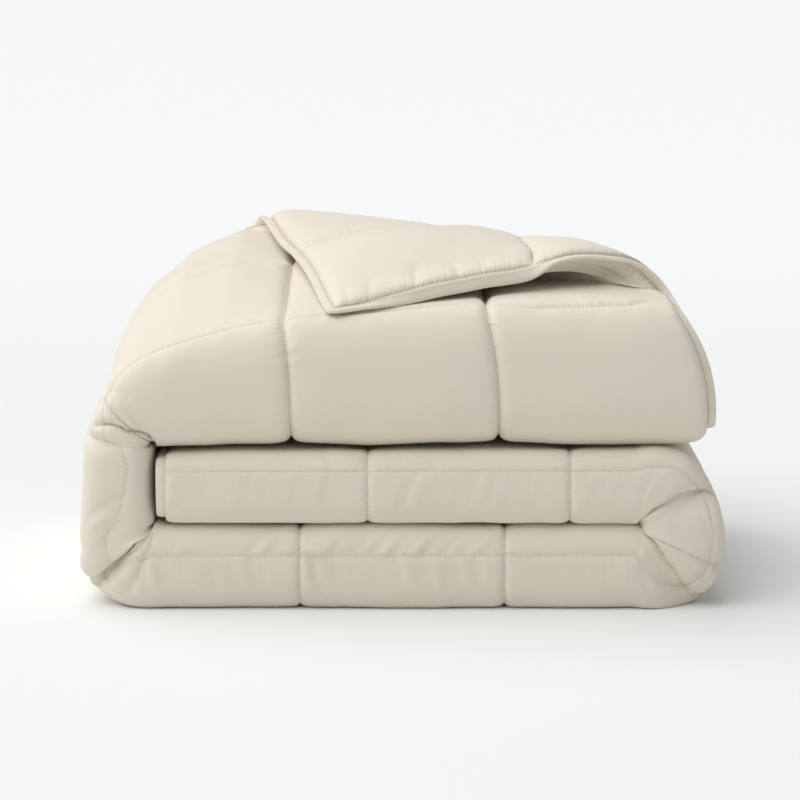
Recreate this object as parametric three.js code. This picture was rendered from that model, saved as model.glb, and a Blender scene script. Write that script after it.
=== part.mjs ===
// A folded quilted duvet with a taped edge, in millimetres, +Z up, resting on z = 0.
// The cloth is worked out as one sheet: s runs along its length, t across its width, and w stands off its
// middle surface. Four layers of it make a strip, and the strip is rolled flat into three tiers.
import * as THREE from 'three';
import { mergeVertices } from 'three/addons/utils/BufferGeometryUtils.js';

// Cut size and sewing
const LENGTH = 2000;
const WIDTH = 1600;
const BOX = 200; // pitch of the sewn squares
const SEAM_THICKNESS = 6; // cloth and flattened fill under a seam
const SEAM_REACH = 24; // how fast the fill rises away from a seam
const LAYER_GAP = 3; // clearance between layers
const FLAP_FILL = 26; // thickness of the turned-back corner, which nothing presses
const FLAP_GAP = 5; // clearance under it
const RUN_ROOM = 1.6; // clearance of the innermost layer from the next tier
const TURN_ROOM = 6; // clearance of the innermost layer from the middle of a turn
const TURN_EASE = 20; // cloth over which one becomes the other

// The edge tape
const TAPE_GAP = 0.4;
const TAPE_WIDTH = 9;
const TAPE_HALF = 3.2; // half its thickness over the edge

// The folded strip from front to back. Levels are in layers from the inner side of the strip.
const LAYER_LEVELS = { outer: 3.5, second: 2.5 };
const FRONT = -200; // foremost point of the filled folds
const FOLD_REACH = 26; // depth of the bend of the front fold, at most
const FOLD_BLUNTNESS = 0.8; // 1 for a round front fold, less for a squarer one
const INNER_FOLD_Y = -125; // centre of the hidden front fold
const REAR_FOLD_Y = 160; // centre of the rear fold
const INNER_REAR_EDGE = 186; // rear edge of the second layer
const FOLD_HALF = 24; // cloth in half of a hidden fold
const FRONT_FOLD_HALF = { share: 0.39, more: 16 }; // cloth in half of the front fold, by the height it wraps
const FRONT_SEAM_DEPTH = 0.35; // how deep the seam along the front fold is, against the others
const CLOTH_FOLDS = { front: 400, rear: 800, inner: 1200 }; // where t turns back

// The route of the strip's inner side in the front view. Angle is the way its outer side faces, 90 up.
// A row to row change of place is a straight run, and a change of angle is a turn about that place.
const ROUTE = [
  { s: 0, x: -234, z: 86, angle: 90 },
  { s: 466, x: 236, z: 86, angle: 90 },
  { s: 672, x: 236, z: 84.5, angle: -90 },
  { s: 1142, x: -246, z: 84.5, angle: -90 },
  { s: 1250, x: -248, z: 86, angle: -180 },
  { s: 1326, x: -248, z: 163.5, angle: -180 },
  { s: 1466, x: -248, z: 163.5, angle: -270 },
  { s: LENGTH, x: 306, z: 163.5, angle: -270 },
];
const TOP = ROUTE.at(-2); // where the top tier's straight run starts
const TOP_START = TOP.s;
const CENTRE = { x: 1.5, y: 15.2 }; // middle of the finished shape in plan, which is moved to the origin

// Height of the four layers: along the front, at the middle of the depth, and at the rear
const HEIGHTS = [
  { s: 0, front: 74, middle: 76, rear: 76 },
  { s: 466, front: 77, middle: 77, rear: 77 },
  { s: 508, front: 88, middle: 90, rear: 90 },
  { s: 532, front: 86, middle: 87, rear: 87 },
  { s: 561, front: 89, middle: 89, rear: 89 },
  { s: 591, front: 97, middle: 97, rear: 97 },
  { s: 600, front: 102, middle: 102, rear: 92 },
  { s: 627, front: 107, middle: 106, rear: 100 },
  { s: 650, front: 103, middle: 103, rear: 95 },
  { s: 672, front: 88, middle: 88, rear: 88 },
  { s: 1142, front: 88, middle: 88, rear: 88 },
  { s: 1180, front: 93, middle: 90, rear: 88 },
  { s: 1195, front: 99, middle: 94, rear: 88 },
  { s: 1210, front: 91, middle: 88, rear: 84 },
  { s: 1225, front: 79, middle: 77, rear: 77 },
  { s: 1250, front: 74, middle: 74, rear: 74 },
  { s: 1290, front: 71, middle: 71, rear: 71 },
  { s: 1326, front: 69, middle: 69, rear: 69 },
  { s: 1363, front: 66, middle: 67, rear: 67 },
  { s: 1394, front: 70, middle: 78, rear: 78 },
  { s: 1420, front: 80, middle: 97, rear: 97 },
  { s: 1450, front: 93, middle: 124, rear: 124 },
  { s: 1487, front: 108, middle: 151, rear: 156 },
  { s: 1540, front: 122, middle: 167, rear: 180 },
  { s: 1600, front: 134, middle: 168, rear: 178 },
  { s: 1700, front: 141, middle: 169, rear: 175 },
  { s: 1800, front: 148, middle: 167, rear: 167 },
  { s: LENGTH, front: 148, middle: 152, rear: 152 },
];
const FRONT_RISE = { from: -190, to: 30 }; // depths between which the front height becomes the middle one
const REAR_RISE = { from: 60, to: 224 }; // and the middle one the rear one

// How far the outermost layer of the top tier is pulled back to the left
const LEANS = [
  { s: TOP_START, x: 0 },
  { s: 1600, x: -9 },
  { s: 1800, x: -19 },
  { s: LENGTH, x: -48 },
];
const LEAN_POWER = 3; // how the pull grows from the inner layer to the outer one

// Shift of the front fold along t, so that the seam that lies on it wanders as the folds draw it
const FOLD_SHIFTS = [
  { s: 0, t: 13 },
  { s: 466, t: 12 },
  { s: 530, t: 25 },
  { s: 610, t: 23 },
  { s: 672, t: -8 },
  { s: 1142, t: -8 },
  { s: 1190, t: 1 },
  { s: 1225, t: -6 },
  { s: 1270, t: -15 },
  { s: 1310, t: -22 },
  { s: 1340, t: -12 },
  { s: 1400, t: 28 },
  { s: 1480, t: 44 },
  { s: 1560, t: 57 },
  { s: 1620, t: 62 },
  { s: 1700, t: 62 },
  { s: 1790, t: 72 },
  { s: 1850, t: 58 },
  { s: 1950, t: 62 },
  { s: LENGTH, t: 82 },
];

// Where the long outer edge of the sheet lies at the rear of the strip
const OUTER_EDGES = [
  { s: 0, y: 185 },
  { s: 466, y: 180 },
  { s: 627, y: 170 },
  { s: 1142, y: 168 },
  { s: 1326, y: 184 },
  { s: TOP_START, y: 220 },
  { s: LENGTH, y: 228 },
];

// Creases where the front fold is taken round a corner
const CREASES = [
  { s: 538, depth: 12 },
  { s: 635, depth: 14 },
  { s: 1193, depth: 16 },
  { s: 1340, depth: 14 },
];
const CREASE_REACH = 15;
const CREASE_DEPTHS = { from: -180, to: -140 }; // the crease fades out between these depths

// The turned-back corner: its fold runs between two points of the plan, and it lifts near the right end
const FLAP_FOLD = {
  left: { x: -192, y: 224, radius: 16 },
  right: { x: 276, y: -150, radius: 28 },
};
const FLAP_LOOSE = { from: -70, to: 10 }; // distances past the fold over which the fill thins to the flap's
const FLAP_SEAM_EASE = { at: 30, reach: 45, share: 0.7 }; // the fold pulls the seams that cross it shallower
const FLAP_SLANT = 0.06; // how far the flap is drawn to the left, as a share of its reach
const FLAP_LIFTS = [
  { s: LENGTH, t: 240, height: 13, along: 120, across: 60 },
  { s: LENGTH, t: 110, height: -7, along: 80, across: 80 },
  { s: 1900, t: 100, height: 9, along: 100, across: 110 },
  { s: LENGTH, t: 0, height: -9, along: 90, across: 110 },
  { s: 1800, t: 0, height: -6, along: 110, across: 50 },
];

// The end edge of the turned-back corner curls up over its own fill
const CURL = { height: 12, reach: 24, edge: 4, seam: 0.4, seamReach: 40 };
const CURL_START = { from: 0, to: 110 };
const CURL_END = { from: 300, to: 370 };

// Where the left end of the fold is pressed together: distances before the fold, and along it
const PINCH_PAST = { from: -110, to: -20 };
const PINCH_ALONG = { from: 60, to: 200 };
const PINCH_SHARE = 0.55; // how far that draws the layer up to the flap

const rad = THREE.MathUtils.degToRad;
const { clamp, lerp, smoothstep } = THREE.MathUtils;

// A column of a table at s, in straight steps between its rows
function tableAt(table, key, s) {
  const last = table.length - 1;
  if (s <= table[0].s) return table[0][key];
  if (s >= table[last].s) return table[last][key];
  const i = table.findIndex((row) => row.s > s);
  const share = (s - table[i - 1].s) / (table[i].s - table[i - 1].s);
  return lerp(table[i - 1][key], table[i][key], share);
}

// Place on the route, carried on in a straight line past both ends
function routeAt(s) {
  const over = s < 0 ? s : Math.max(0, s - LENGTH);
  return {
    x: tableAt(ROUTE, 'x', s) + over,
    z: tableAt(ROUTE, 'z', s),
    angle: rad(tableAt(ROUTE, 'angle', s)),
  };
}

// How far s is into a turn of the route, 1 when it is well inside
function turnShare(s) {
  const i = ROUTE.findIndex((row) => row.s > s);
  if (i < 1 || ROUTE[i].angle === ROUTE[i - 1].angle) return 0;
  return clamp(Math.min(s - ROUTE[i - 1].s, ROUTE[i].s - s) / TURN_EASE, 0, 1);
}

// Height of the four layers at s and depth y
function stackHeight(s, y) {
  const front = tableAt(HEIGHTS, 'front', s);
  const middle = tableAt(HEIGHTS, 'middle', s);
  const rear = tableAt(HEIGHTS, 'rear', s);
  const toMiddle = (middle - front) * smoothstep(y, FRONT_RISE.from, FRONT_RISE.to);
  return front + toMiddle + (rear - middle) * smoothstep(y, REAR_RISE.from, REAR_RISE.to);
}

// How full the cloth is at a distance from a seam, from 0 to 1
function fullness(distance) {
  return 1 - Math.exp(-Math.abs(distance) / SEAM_REACH);
}

// A smooth bump of height 1 at 0
function bump(share) {
  return Math.exp(-share * share);
}

function seamDistance(place) {
  return place - BOX * Math.round(place / BOX);
}

// Half of the cloth in the front fold, which wraps the other layers
function frontFoldHalf(s) {
  return FRONT_FOLD_HALF.share * stackHeight(s, FRONT) + FRONT_FOLD_HALF.more;
}

// Depth y and level of the middle surface across the strip. Level counts layers from the inner side.
function crossSection(s, t) {
  const pitch = stackHeight(s, FRONT) / 4;
  const centre = CLOTH_FOLDS.front + tableAt(FOLD_SHIFTS, 't', s);
  const half = frontFoldHalf(s);
  const radius = Math.min(FOLD_REACH, 1.5 * pitch);
  const fill = (pitch - LAYER_GAP) / 2;
  const foldY = FRONT + fill + radius;
  if (t < centre - half) {
    const reach = (tableAt(OUTER_EDGES, 'y', s) - foldY) / (centre - half);
    return { y: foldY + (centre - half - t) * reach, level: LAYER_LEVELS.outer };
  }
  if (t < centre + half) {
    const turn = (Math.PI / 2) * ((t - centre) / half);
    const down = Math.sign(turn) * Math.pow(Math.abs(Math.sin(turn)), FOLD_BLUNTNESS);
    return { y: foldY - radius * Math.pow(Math.cos(turn), FOLD_BLUNTNESS), level: 2 - 1.5 * down };
  }
  const bends = [
    { name: 'rear', y: REAR_FOLD_Y, side: 1, level: 1 },
    { name: 'inner', y: INNER_FOLD_Y, side: -1, level: 2 },
  ];
  let from = { t: centre + half, y: foldY };
  for (const bend of bends) {
    const start = CLOTH_FOLDS[bend.name] - FOLD_HALF;
    if (t < start) {
      return { y: lerp(from.y, bend.y, (t - from.t) / (start - from.t)), level: bend.level - 0.5 };
    }
    if (t < start + 2 * FOLD_HALF) {
      const turn = (Math.PI / 2) * ((t - start) / FOLD_HALF - 1);
      const reach = 0.5 * (stackHeight(s, bend.y) / 4) * Math.cos(turn);
      return { y: bend.y + bend.side * reach, level: bend.level + 0.5 * Math.sin(turn) };
    }
    from = { t: start + 2 * FOLD_HALF, y: bend.y };
  }
  return { y: lerp(from.y, INNER_REAR_EDGE, (t - from.t) / (WIDTH - from.t)), level: LAYER_LEVELS.second };
}

function isTopLayer(s, level) {
  return s > TOP_START && level === LAYER_LEVELS.outer;
}

// Thickness of the cloth in the middle of a box
function boxThickness(s, t) {
  const inside = clamp(s, 0, LENGTH);
  const { y, level } = crossSection(inside, t);
  const pitch = stackHeight(inside, y) / 4;
  const room = lerp(RUN_ROOM, TURN_ROOM, turnShare(s));
  const full = Math.min(pitch - LAYER_GAP, 2 * (level * pitch - room));
  const past = isTopLayer(s, level) ? flapDistance(inside, t) : -Infinity;
  return lerp(full, Math.min(full, FLAP_FILL), smoothstep(past, FLAP_LOOSE.from, FLAP_LOOSE.to));
}

// Full thickness of the cloth at s and t
function thickness(s, t) {
  const inside = clamp(s, 0, LENGTH);
  const { level } = crossSection(inside, t);
  const past = isTopLayer(s, level) ? flapDistance(inside, t) : -Infinity;
  const eased = FLAP_SEAM_EASE.share * bump((past - FLAP_SEAM_EASE.at) / FLAP_SEAM_EASE.reach);
  const nearFrontFold = Math.abs(t - CLOTH_FOLDS.front) < BOX / 2;
  const across = lerp(1, fullness(seamDistance(t)), nearFrontFold ? FRONT_SEAM_DEPTH : 1);
  const atEdge = fullness(Math.min(t, WIDTH - t));
  const share = lerp(fullness(seamDistance(s)), 1, eased) * Math.min(lerp(across, 1, eased), atEdge);
  return SEAM_THICKNESS + (boxThickness(s, t) - SEAM_THICKNESS) * share;
}

// Plan of the top layer before its corner is turned back
function flatPlan(s, t) {
  const { y } = crossSection(s, t);
  return { x: routeAt(s).x + tableAt(LEANS, 'x', s) * Math.pow(LAYER_LEVELS.outer / 4, LEAN_POWER), y };
}

// Column of the top tier whose outermost layer lies at x
function topColumn(x) {
  const start = flatPlan(TOP_START, 0).x;
  let s = TOP_START;
  for (let round = 0; round < 6; round += 1) {
    s += (x - flatPlan(s, 0).x) * ((LENGTH - TOP_START) / (flatPlan(LENGTH, 0).x - start));
    s = clamp(s, TOP_START, LENGTH);
  }
  return s;
}

const foldRun = new THREE.Vector2(
  FLAP_FOLD.right.x - FLAP_FOLD.left.x,
  FLAP_FOLD.right.y - FLAP_FOLD.left.y,
);
const FOLD_LENGTH = foldRun.length();
foldRun.normalize();
const foldOut = new THREE.Vector2(-foldRun.y, foldRun.x); // towards the corner that is turned back

// Distance past the fold, in cloth
function flapDistance(s, t) {
  const { x, y } = flatPlan(s, t);
  return (x - FLAP_FOLD.left.x) * foldOut.x + (y - FLAP_FOLD.left.y) * foldOut.y;
}

// Distance along the fold from its left end, for a place of the plan
function alongFold(x, y) {
  return (x - FLAP_FOLD.left.x) * foldRun.x + (y - FLAP_FOLD.left.y) * foldRun.y;
}

// Radius of the fold beside a place, which grows towards the right end
function foldRadius(s, t) {
  const { x, y } = flatPlan(s, t);
  return lerp(FLAP_FOLD.left.radius, FLAP_FOLD.right.radius, smoothstep(alongFold(x, y), 0, FOLD_LENGTH));
}

// Height of the top layer before its fold: at its own level, and drawn up to the flap at the left end
function layerRise(s, t, x, y, height) {
  const full = SEAM_THICKNESS + (boxThickness(s, t) - SEAM_THICKNESS) * fullness(t);
  const past = (x - FLAP_FOLD.left.x) * foldOut.x + (y - FLAP_FOLD.left.y) * foldOut.y;
  const near = smoothstep(past, PINCH_PAST.from, PINCH_PAST.to);
  const pinch = PINCH_SHARE * near * (1 - smoothstep(alongFold(x, y), PINCH_ALONG.from, PINCH_ALONG.to));
  return lerp((height * LAYER_LEVELS.outer) / 4, height - (LAYER_GAP + full) / 2, pinch);
}

// How far the end edge of the turned-back corner is drawn up
function curl(s, t) {
  const share = smoothstep(t, CURL_START.from, CURL_START.to) * (1 - smoothstep(t, CURL_END.from, CURL_END.to));
  const atSeam = 1 - CURL.seam * bump((t - BOX) / CURL.seamReach);
  return CURL.height * share * atSeam * bump((LENGTH - s) / CURL.reach);
}

// Place of t on the column s at a share of the way round the fold
function foldPlace(s, share) {
  const slope = flapDistance(s, 0) - flapDistance(s, 1);
  let t = 0;
  for (let round = 0; round < 8; round += 1) {
    t = Math.max(0, (flapDistance(s, 0) - share * Math.PI * foldRadius(s, t)) / slope);
  }
  return t;
}

// The top layer's middle surface past the fold: round it, and then flat on the layer below
function flapPoint(s, t) {
  const past = flapDistance(s, t);
  const radius = foldRadius(s, t);
  const half = Math.PI * radius;
  const plan = flatPlan(s, t);
  const turned = past < half ? radius * Math.sin(past / radius) : half - past;
  const x = plan.x - foldOut.x * (past - turned) - FLAP_SLANT * past;
  const y = plan.y - foldOut.y * (past - turned);
  const height = stackHeight(topColumn(x), y);
  const low = TOP.z + layerRise(s, t, x, y, height);
  let lift = 0;
  for (const row of FLAP_LIFTS) {
    lift += row.height * bump((s - row.s) / row.along) * bump((t - row.t) / row.across);
  }
  const high = TOP.z + height + FLAP_GAP + thickness(s, t) / 2 + lift + curl(s, t);
  const share = past < half ? (1 - Math.cos(past / radius)) / 2 : 1;
  return new THREE.Vector3(x, y, lerp(low, high, share));
}

// Middle surface
function middle(s, t) {
  const inside = clamp(s, 0, LENGTH);
  const { y, level } = crossSection(inside, t);
  if (isTopLayer(s, level) && flapDistance(s, t) > 0) return flapPoint(s, t);
  const { x, z, angle } = routeAt(s);
  const out = (level * stackHeight(inside, y)) / 4;
  const lean = tableAt(LEANS, 'x', inside) * Math.pow(level / 4, LEAN_POWER);
  const onFold = 1 - smoothstep(y, CREASE_DEPTHS.from, CREASE_DEPTHS.to);
  let tuck = 0;
  for (const crease of CREASES) {
    tuck += crease.depth * bump((s - crease.s) / CREASE_REACH);
  }
  const inner = t > CLOTH_FOLDS.rear ? 0 : clamp((level - 1) / 2, 0, 1);
  const point = new THREE.Vector3(
    x + out * Math.cos(angle) + lean,
    y + tuck * onFold * inner,
    z + out * Math.sin(angle),
  );
  if (isTopLayer(s, level)) {
    point.z = TOP.z + layerRise(s, t, point.x, point.y, stackHeight(inside, y));
  }
  return point;
}

function normalAt(s, t) {
  const step = 0.5;
  const along = middle(s + step, t).sub(middle(s - step, t));
  const across = middle(s, t + step).sub(middle(s, t - step));
  return across.cross(along).normalize();
}

// A point of one skin of the cloth. side is 1 on the outer face and -1 on the inner one.
function skinPoint(s, t, side) {
  const { level } = crossSection(clamp(s, 0, LENGTH), t);
  const hung = isTopLayer(s, level) ? curl(s, t) * (1 - Math.exp((s - LENGTH) / CURL.edge)) : 0;
  const lift = thickness(s, t) / 2 + (side > 0 ? hung : -hung / 2);
  const point = middle(s, t).addScaledVector(normalAt(s, t), side * lift);
  point.z = Math.max(0, point.z);
  return point;
}

// A point of the tape: out from the border at s and t in the border's own plane there, and w off it
function tapePoint(s, t, out, distance, w) {
  const step = 5;
  const edge = middle(s, t);
  const normal = normalAt(s, t);
  const away = middle(s + out[0] * step, t + out[1] * step).sub(edge).divideScalar(step);
  away.addScaledVector(normal, -away.dot(normal));
  return edge.addScaledVector(away, distance).addScaledVector(normal, w);
}

// The grid: places of columns along s, and rows across t that every column has
const COLUMN_ROOM = { close: 9, turn: 12, open: 26 };
const TURN_STEP = 24;
const FOLD_COLUMNS = { length: 110, step: 17 }; // where the rear edge goes round the fold
const FLAP_ROWS = [0, 15, 60, 120, 185, 200, 215, 250];
const BEND_SHARES = [1, 0.83, 0.67, 0.5, 0.33, 0.17, 0];
const TOP_ROWS = [0, 15, 60, 130, 185, 200, 215, 260, 315, 345, 365, 383];
const FRONT_ROWS = [400, 417, 434, 452, 475, 500];
const HIDDEN_ROWS = [550, 600, 650, 720, 776, 788, 800, 812, 824, 900, 1000, 1100];
const LAST_ROWS = [1176, 1188, 1200, 1212, 1224, 1300, 1400, 1500, WIDTH];

// Places of the columns: seams, creases and turns first, then what fills the spaces. Room is the least
// distance to the columns that are there already.
function columnPlaces() {
  const places = [];
  const add = (s, room) => {
    if (s < 0 || s > LENGTH) return;
    if (places.every((other) => Math.abs(other - s) >= room)) places.push(s);
  };
  const seams = Array.from({ length: LENGTH / BOX + 1 }, (unused, i) => i * BOX);
  seams.forEach((seam) => add(seam, 1));
  CREASES.forEach(({ s }) => [0, -14, 14].forEach((side) => add(s + side, COLUMN_ROOM.close)));
  seams.forEach((seam) => [-15, 15].forEach((side) => add(seam + side, COLUMN_ROOM.close)));
  ROUTE.forEach(({ s }) => add(s, COLUMN_ROOM.close));
  ROUTE.forEach((row, i) => {
    if (i === 0 || row.angle === ROUTE[i - 1].angle) return;
    for (let s = ROUTE[i - 1].s; s < row.s; s += TURN_STEP) add(s, COLUMN_ROOM.turn);
  });
  seams.forEach((seam) => [50, 100, 150].forEach((side) => add(seam + side, COLUMN_ROOM.open)));
  for (let s = foldStart(); s < foldStart() + FOLD_COLUMNS.length; s += FOLD_COLUMNS.step) {
    add(s, COLUMN_ROOM.turn);
  }
  return places.sort((a, b) => a - b);
}

// Place along the rear edge where the fold of the turned-back corner starts
function foldStart() {
  let low = TOP_START;
  let high = LENGTH;
  while (high - low > 0.01) {
    const s = (low + high) / 2;
    if (flapDistance(s, 0) > 0) high = s;
    else low = s;
  }
  return low;
}

// The places across the cloth on the column s. Rows that the turned-back corner doesn't reach fall together.
function rowPlaces(s) {
  const place = (share) => (s > TOP_START ? foldPlace(s, share) : 0);
  const flap = FLAP_ROWS.map((t) => Math.min(t, place(1)));
  const bend = BEND_SHARES.map(place);
  const seam = CLOTH_FOLDS.front;
  const fold = place(0);
  const top = TOP_ROWS.map((t) => fold + ((seam - fold) * t) / seam);
  return [...flap, ...bend, ...top, ...FRONT_ROWS, ...HIDDEN_ROWS, ...LAST_ROWS];
}

// Closed mesh from points and faces of four corners, where corners that fall together are merged
function closedGeometry(points, quads) {
  const geometry = new THREE.BufferGeometry();
  geometry.setAttribute('position', new THREE.Float32BufferAttribute(points.flatMap((p) => p.toArray()), 3));
  geometry.setIndex(quads.flatMap(([a, b, c, d]) => [a, b, c, a, c, d]));
  const merged = mergeVertices(geometry, 1e-3);
  const index = merged.getIndex().array;
  const kept = [];
  for (let i = 0; i < index.length; i += 3) {
    const [a, b, c] = index.slice(i, i + 3);
    if (a !== b && b !== c && c !== a) kept.push(a, b, c);
  }
  merged.setIndex(kept);
  merged.computeVertexNormals();
  return merged;
}

const columns = columnPlaces();
const grid = columns.map((s) => rowPlaces(s).map((t) => ({ s, t })));
const rowCount = grid[0].length;

// The filled body: an outer and an inner skin on the grid, joined round the border
function duvetGeometry() {
  const skin = columns.length * rowCount;
  const points = [1, -1].flatMap((side) =>
    grid.flat().map(({ s, t }) => skinPoint(s, t, side)),
  );
  const at = (i, j, layer) => layer * skin + i * rowCount + j;
  const quads = [];
  for (let i = 0; i + 1 < columns.length; i += 1) {
    for (let j = 0; j + 1 < rowCount; j += 1) {
      quads.push([at(i, j, 0), at(i, j + 1, 0), at(i + 1, j + 1, 0), at(i + 1, j, 0)]);
      quads.push([at(i, j, 1), at(i + 1, j, 1), at(i + 1, j + 1, 1), at(i, j + 1, 1)]);
    }
  }
  const border = borderPlaces();
  border.forEach(({ i, j }, k) => {
    const next = border[(k + 1) % border.length];
    quads.push([at(i, j, 0), at(next.i, next.j, 0), at(next.i, next.j, 1), at(i, j, 1)]);
  });
  return closedGeometry(points, quads);
}

// The border of the grid, once round, with the way out of the cloth at each place
function borderPlaces() {
  const lastColumn = columns.length - 1;
  const lastRow = rowCount - 1;
  const places = [];
  for (let i = 0; i < lastColumn; i += 1) places.push({ i, j: 0, out: [i ? 0 : -1, -1] });
  for (let j = 0; j < lastRow; j += 1) places.push({ i: lastColumn, j, out: [1, j ? 0 : -1] });
  for (let i = lastColumn; i > 0; i -= 1) places.push({ i, j: lastRow, out: [i < lastColumn ? 0 : 1, 1] });
  for (let j = lastRow; j > 0; j -= 1) places.push({ i: 0, j, out: [-1, j < lastRow ? 0 : 1] });
  return places;
}

// The tape: one closed section carried once round the border
function bindingGeometry() {
  const section = [
    { out: TAPE_GAP, w: TAPE_HALF },
    { out: TAPE_WIDTH * 0.7, w: TAPE_HALF },
    { out: TAPE_WIDTH, w: TAPE_HALF * 0.5 },
    { out: TAPE_WIDTH, w: -TAPE_HALF * 0.5 },
    { out: TAPE_WIDTH * 0.7, w: -TAPE_HALF },
    { out: TAPE_GAP, w: -TAPE_HALF },
  ];
  const border = borderPlaces().filter(({ i, j, out }, k, all) => {
    const last = all[(k + all.length - 1) % all.length];
    const here = grid[i][j];
    const there = grid[last.i][last.j];
    return Math.abs(out[0] * out[1]) === 1 || here.s !== there.s || here.t !== there.t;
  });
  const points = border.flatMap(({ i, j, out }) => {
    const { s, t } = grid[i][j];
    return section.map((corner) => tapePoint(s, t, out, corner.out, corner.w));
  });
  const sides = section.length;
  const quads = [];
  border.forEach((place, k) => {
    const next = (k + 1) % border.length;
    section.forEach((corner, side) => {
      const after = (side + 1) % sides;
      quads.push([next * sides + side, next * sides + after, k * sides + after, k * sides + side]);
    });
  });
  return closedGeometry(points, quads);
}

// Finishes: matt cream cotton for both, a little deeper on the tape
const cover = new THREE.MeshStandardMaterial({ color: 0xe9e1d2, roughness: 0.9, metalness: 0 });
const tape = new THREE.MeshStandardMaterial({ color: 0xe4dbca, roughness: 0.85, metalness: 0 });

const group = new THREE.Group();
group.position.set(-CENTRE.x, -CENTRE.y, 0);
[
  { name: 'duvet', geometry: duvetGeometry(), material: cover },
  { name: 'binding', geometry: bindingGeometry(), material: tape },
].forEach(({ name, geometry, material }) => {
  const mesh = new THREE.Mesh(geometry, material);
  mesh.name = name;
  group.add(mesh);
});

export default group;
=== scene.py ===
"""Looks of the folded quilted duvet: its filled cover, its edge tape and its sewing.

The cloth is worked out as one flat sheet, as it was sewn. s runs along its length and t across its
width, in millimetres, and side says which of its two faces a point is on. One mapping folds the
sheet: four layers make a strip, the strip is rolled flat into three tiers, and the top layer's rear
corner is turned back.
"""
import math

import bmesh
import bpy
import numpy as np
from mathutils import Matrix, Vector


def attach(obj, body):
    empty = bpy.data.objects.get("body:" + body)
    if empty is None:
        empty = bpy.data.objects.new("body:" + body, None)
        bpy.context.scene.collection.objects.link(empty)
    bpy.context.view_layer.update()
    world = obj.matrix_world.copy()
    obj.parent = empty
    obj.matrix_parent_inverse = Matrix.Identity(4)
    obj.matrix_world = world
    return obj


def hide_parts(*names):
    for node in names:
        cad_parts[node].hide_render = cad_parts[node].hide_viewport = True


bl_info = {
    "name": "Folded Quilted Duvet",
    "version": (1, 0, 0),
    "blender": (4, 5, 0),
    "location": "View3D > Sidebar > Duvet",
    "description": "Builds a folded quilted duvet with a taped edge",
    "category": "Add Mesh",
}

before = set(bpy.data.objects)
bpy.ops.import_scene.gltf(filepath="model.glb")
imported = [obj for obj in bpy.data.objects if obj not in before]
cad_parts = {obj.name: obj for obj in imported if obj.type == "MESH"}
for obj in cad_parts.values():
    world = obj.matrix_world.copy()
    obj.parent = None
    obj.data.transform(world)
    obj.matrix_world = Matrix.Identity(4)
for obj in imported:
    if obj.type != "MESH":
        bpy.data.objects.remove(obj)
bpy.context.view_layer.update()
MM = 0.001


def table(columns, *rows):
    """A short table with named columns, each an array."""
    return dict(zip(columns.split(), np.array(rows, float).T))


# Cut size and sewing, in millimetres, as the solids have them. A seam draws the cloth in as a narrow
# valley, SEAM_EDGE wide, within a wide one, SEAM_REACH wide
LENGTH = 2000
WIDTH = 1600
BOX = 200
SEAM_THICKNESS = 5
SEAM_REACH = 26
SEAM_NARROW = 0.5
SEAM_EDGE = 3.6

# Air between the layers, and how much thinner the fill is in a run and in a turn, in millimetres
LAYER_GAP = 3
FLAP_FILL = 26
FLAP_GAP = 5
RUN_ROOM = 1.6
TURN_ROOM = 6
TURN_EASE = 20

# The folded strip from front to back. Levels are in layers from the inner side of the strip
OUTER_LEVEL = 3.5
SECOND_LEVEL = 2.5
FRONT = -200
INNER_FOLD_Y = -125
REAR_FOLD_Y = 160
INNER_REAR_EDGE = 186
FOLD_HALF = 24

# The front fold: how deep and how blunt it bends, how far it reaches along t, and how far the fill
# swells the layer above it
FRONT_BENDS = table(
    "s reach bluntness",
    (0, 17, 0.55),
    (1180, 17, 0.55),
    (1420, 26, 0.72),
    (LENGTH, 26, 0.72),
)
FRONT_FOLD_SHARE = 0.39
FRONT_FOLD_MORE = 16
SWELL = 2.4

# Shares of the narrow and the wide valley where a seam lies on the front fold or crosses it, and
# how much the seam inside the turn at the right is eased
FRONT_SEAM = (0.16, 0.14)
CROSSING_SEAM = (0.55, 0.16)
HIDDEN_SEAM = 0.75
HIDDEN_SEAM_S = 600
FRONT_FOLD_T = 400
REAR_FOLD_T = 800
INNER_FOLD_T = 1200

# The route of the strip's inner side in the front view. Angle is the way its outer side faces, 90 up
ROUTE = table(
    "s x z angle",
    (0, -234, 86, 90),
    (466, 236, 86, 90),
    (672, 236, 84.5, -90),
    (1142, -246, 84.5, -90),
    (1250, -248, 86, -180),
    (1326, -248, 163.5, -180),
    (1466, -248, 163.5, -270),
    (LENGTH, 306, 163.5, -270),
)
TURNS = ((466, 672), (1142, 1250), (1326, 1466))
TOP_START = 1466
TOP_Z = 163.5

# Middle of the solids' box, which is the frame's origin
CENTRE = np.array([1.5, 15.2, 0.0])

# Height of the four layers along the front, and at the middle of the depth
HEIGHTS = table(
    "s front middle rear",
    (0, 74, 76, 76),
    (466, 77, 77, 77),
    (508, 88, 90, 90),
    (532, 86, 87, 87),
    (561, 89, 89, 89),
    (591, 97, 97, 97),
    (600, 102, 102, 92),
    (627, 107, 106, 100),
    (650, 103, 103, 95),
    (672, 88, 88, 88),
    (1142, 88, 88, 88),
    (1180, 93, 90, 88),
    (1195, 99, 94, 88),
    (1210, 91, 88, 84),
    (1225, 79, 77, 77),
    (1250, 74, 74, 74),
    (1290, 71, 71, 71),
    (1326, 69, 69, 69),
    (1351, 67, 67.6, 67.6),
    (1363, 66.9, 68.4, 68.4),
    (1375, 67.7, 71.3, 71.3),
    (1394, 70, 78, 78),
    (1420, 80, 97, 97),
    (1450, 93, 124, 124),
    (1487, 108, 151, 156),
    (1540, 122, 167, 180),
    (1600, 134, 168, 178),
    (1700, 141, 169, 175),
    (1800, 148, 167, 167),
    (LENGTH, 148, 152, 152),
)
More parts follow.
